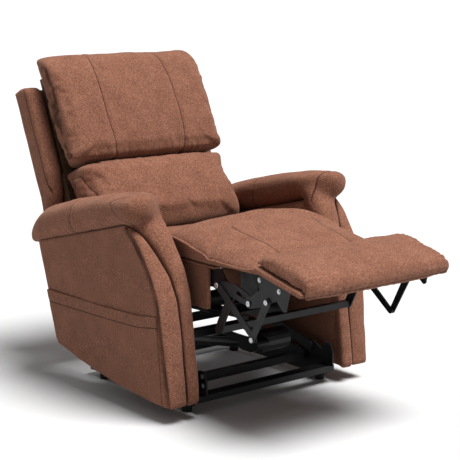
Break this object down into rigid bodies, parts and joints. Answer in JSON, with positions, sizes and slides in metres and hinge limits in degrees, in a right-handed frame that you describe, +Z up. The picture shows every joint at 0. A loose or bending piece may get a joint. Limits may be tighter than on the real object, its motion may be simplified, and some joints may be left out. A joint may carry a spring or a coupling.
{
  "type": "lift recliner chair",
  "caption": "Upholstered power lift recliner with padded arms, raised footrest, reclining back and a lifting base driven by motors.",
  "frame": {"origin": "on the floor, under the middle of the chair's outline as it is stored, footrest out and back leaned back", "axes": "+Z up; the sitter faces -Y; +X is the sitter's left"},
  "size_m": [0.892, 1.413, 1.041],
  "materials": {
    "brown_microfibre": "napped, matt",
    "black_steel": "satin black",
    "plated_steel": "zinc plated",
    "black_rubber": "matt",
    "black_plastic": "matt",
    "plywood": "raw"
  },
  "bodies": {
    "base": {"base_front_tube": "black_steel", "base_rail_left": "black_steel", "base_rail_right": "black_steel", "base_rear_tube": "black_steel", "foot_front_left": "black_rubber", "foot_front_right": "black_rubber", "foot_rear_left": "black_rubber", "foot_rear_right": "black_rubber", "pivot_plate_left": "black_steel", "pivot_plate_right": "black_steel"},
    "lift": {"lift_link_left": "black_steel", "lift_link_right": "black_steel", "lift_torque_tube": "black_steel"},
    "guide": {"guide_link_left": "black_steel", "guide_link_right": "black_steel"},
    "chair": {"arm_left": "brown_microfibre", "arm_right": "brown_microfibre", "arm_roll_left": "brown_microfibre", "arm_roll_right": "brown_microfibre", "control_box": "black_plastic", "frame_front_tube": "black_steel", "frame_rear_tube": "black_steel", "lift_frame_left": "black_steel", "lift_frame_right": "black_steel", "recliner_plate_left": "black_steel", "recliner_plate_right": "black_steel", "seat_cushion": "brown_microfibre", "seat_deck": "plywood", "seat_rail_left": "brown_microfibre", "seat_rail_right": "brown_microfibre", "side_pocket": "brown_microfibre"},
    "back": {"back_board": "plywood", "back_lug_left": "black_steel", "back_lug_right": "black_steel", "back_shell": "brown_microfibre", "lumbar_cushion": "brown_microfibre", "wing_left": "brown_microfibre", "wing_right": "brown_microfibre"},
    "headrest": {"head_pillow": "brown_microfibre", "headrest_board": "plywood"},
    "chaise": {"chaise_pad": "brown_microfibre"},
    "ottoman": {"ottoman_link_left": "black_steel", "ottoman_link_right": "black_steel"},
    "footrest": {"footrest_board": "brown_microfibre", "footrest_bracket_left": "black_steel", "footrest_bracket_right": "black_steel", "footrest_pad": "brown_microfibre"},
    "rear_leg": {"rear_leg_left": "black_steel", "rear_leg_right": "black_steel"},
    "front_leg": {"front_leg_left": "black_steel", "front_leg_right": "black_steel"},
    "drive": {"drive_link_left": "black_steel", "drive_link_right": "black_steel", "drive_tube": "black_steel"},
    "lift_motor": {"lift_motor": "black_steel"},
    "lift_rod": {"lift_rod": "plated_steel"},
    "footrest_motor": {"footrest_motor": "black_steel"},
    "footrest_rod": {"footrest_rod": "plated_steel"},
    "back_motor": {"back_motor": "black_steel"},
    "back_rod": {"back_rod": "plated_steel"}
  },
  "joints": [
    {"name": "lift", "type": "hinge", "parent": "base", "child": "lift", "pos_m": [0, -0.09275, 0.075], "axis": [1, 0, 0], "range_deg": [0, 60]},
    {"name": "chair_tip", "type": "hinge", "parent": "lift", "child": "chair", "pos_m": [0, 0.20433, 0.11675], "axis": [1, 0, 0], "range_deg": [-35, 0]},
    {"name": "guide_turn", "type": "hinge", "parent": "base", "child": "guide", "pos_m": [0, -0.12075, 0.111], "axis": [1, 0, 0], "range_deg": [0, 58.89]},
    {"name": "back_recline", "type": "hinge", "parent": "chair", "child": "back", "pos_m": [0, 0.28725, 0.44], "axis": [1, 0, 0], "range_deg": [-22, 18]},
    {"name": "headrest_tilt", "type": "hinge", "parent": "back", "child": "headrest", "pos_m": [0, 0.5014, 0.6621], "axis": [1, 0, 0], "range_deg": [0, 20]},
    {"name": "footrest_fold", "type": "hinge", "parent": "chair", "child": "ottoman", "pos_m": [0, -0.29775, 0.42], "axis": [1, 0, 0], "range_deg": [0, 114.96]},
    {"name": "footrest_turn", "type": "hinge", "parent": "ottoman", "child": "footrest", "pos_m": [0, -0.44845, 0.3936], "axis": [1, 0, 0], "range_deg": [-36.96, 0]},
    {"name": "chaise_fold", "type": "hinge", "parent": "chair", "child": "chaise", "pos_m": [0, -0.31475, 0.484], "axis": [1, 0, 0], "range_deg": [0, 78]},
    {"name": "rear_leg_fold", "type": "hinge", "parent": "chair", "child": "rear_leg", "pos_m": [0, -0.29775, 0.42], "axis": [1, 0, 0], "range_deg": [0, 105.29]},
    {"name": "front_leg_fold", "type": "hinge", "parent": "footrest", "child": "front_leg", "pos_m": [0, -0.52975, 0.413], "axis": [1, 0, 0], "range_deg": [0, 16.27]},
    {"name": "drive_fold", "type": "hinge", "parent": "ottoman", "child": "drive", "pos_m": [0, -0.35475, 0.409], "axis": [1, 0, 0], "range_deg": [-99.96, 0]},
    {"name": "lift_motor_swivel", "type": "hinge", "parent": "chair", "child": "lift_motor", "pos_m": [0, -0.17775, 0.171], "axis": [1, 0, 0], "range_deg": [-28.22, 0]},
    {"name": "lift_rod_slide", "type": "slide", "parent": "lift_motor", "child": "lift_rod", "axis": [0, 0.9859, -0.1671], "range_m": [0, 0.18222]},
    {"name": "footrest_motor_swivel", "type": "hinge", "parent": "chair", "child": "footrest_motor", "pos_m": [-0.1, 0.14725, 0.27], "axis": [1, 0, 0], "range_deg": [0, 0.763]},
    {"name": "footrest_rod_slide", "type": "slide", "parent": "footrest_motor", "child": "footrest_rod", "axis": [0, -0.9995, 0.0318], "range_m": [-0.12063, 0]},
    {"name": "back_motor_swivel", "type": "hinge", "parent": "chair", "child": "back_motor", "pos_m": [0.1, 0.06725, 0.24], "axis": [1, 0, 0], "range_deg": [-1.37, 1.67]},
    {"name": "back_rod_slide", "type": "slide", "parent": "back_motor", "child": "back_rod", "axis": [0, 0.9191, 0.3939], "range_m": [-0.03616, 0.02959]}
  ],
  "couplings": [
    {"joint": "chair_tip", "follows": "lift", "ratio": -0.58333},
    {"joint": "guide_turn", "follows": "lift", "ratio": 0.9815},
    {"joint": "footrest_turn", "follows": "footrest_fold", "ratio": -0.32149},
    {"joint": "chaise_fold", "follows": "footrest_fold", "ratio": 0.67851},
    {"joint": "rear_leg_fold", "follows": "footrest_fold", "ratio": 0.91588},
    {"joint": "front_leg_fold", "follows": "footrest_fold", "ratio": 0.14152},
    {"joint": "drive_fold", "follows": "footrest_fold", "ratio": -0.86952},
    {"joint": "lift_motor_swivel", "follows": "lift", "ratio": -0.47033},
    {"joint": "lift_rod_slide", "follows": "lift", "m_per_rad": 0.174},
    {"joint": "footrest_motor_swivel", "follows": "footrest_fold", "ratio": 0.006635},
    {"joint": "footrest_rod_slide", "follows": "footrest_fold", "m_per_rad": -0.06012},
    {"joint": "back_motor_swivel", "follows": "back_recline", "ratio": -0.075872},
    {"joint": "back_rod_slide", "follows": "back_recline", "m_per_rad": 0.094171}
  ]
}
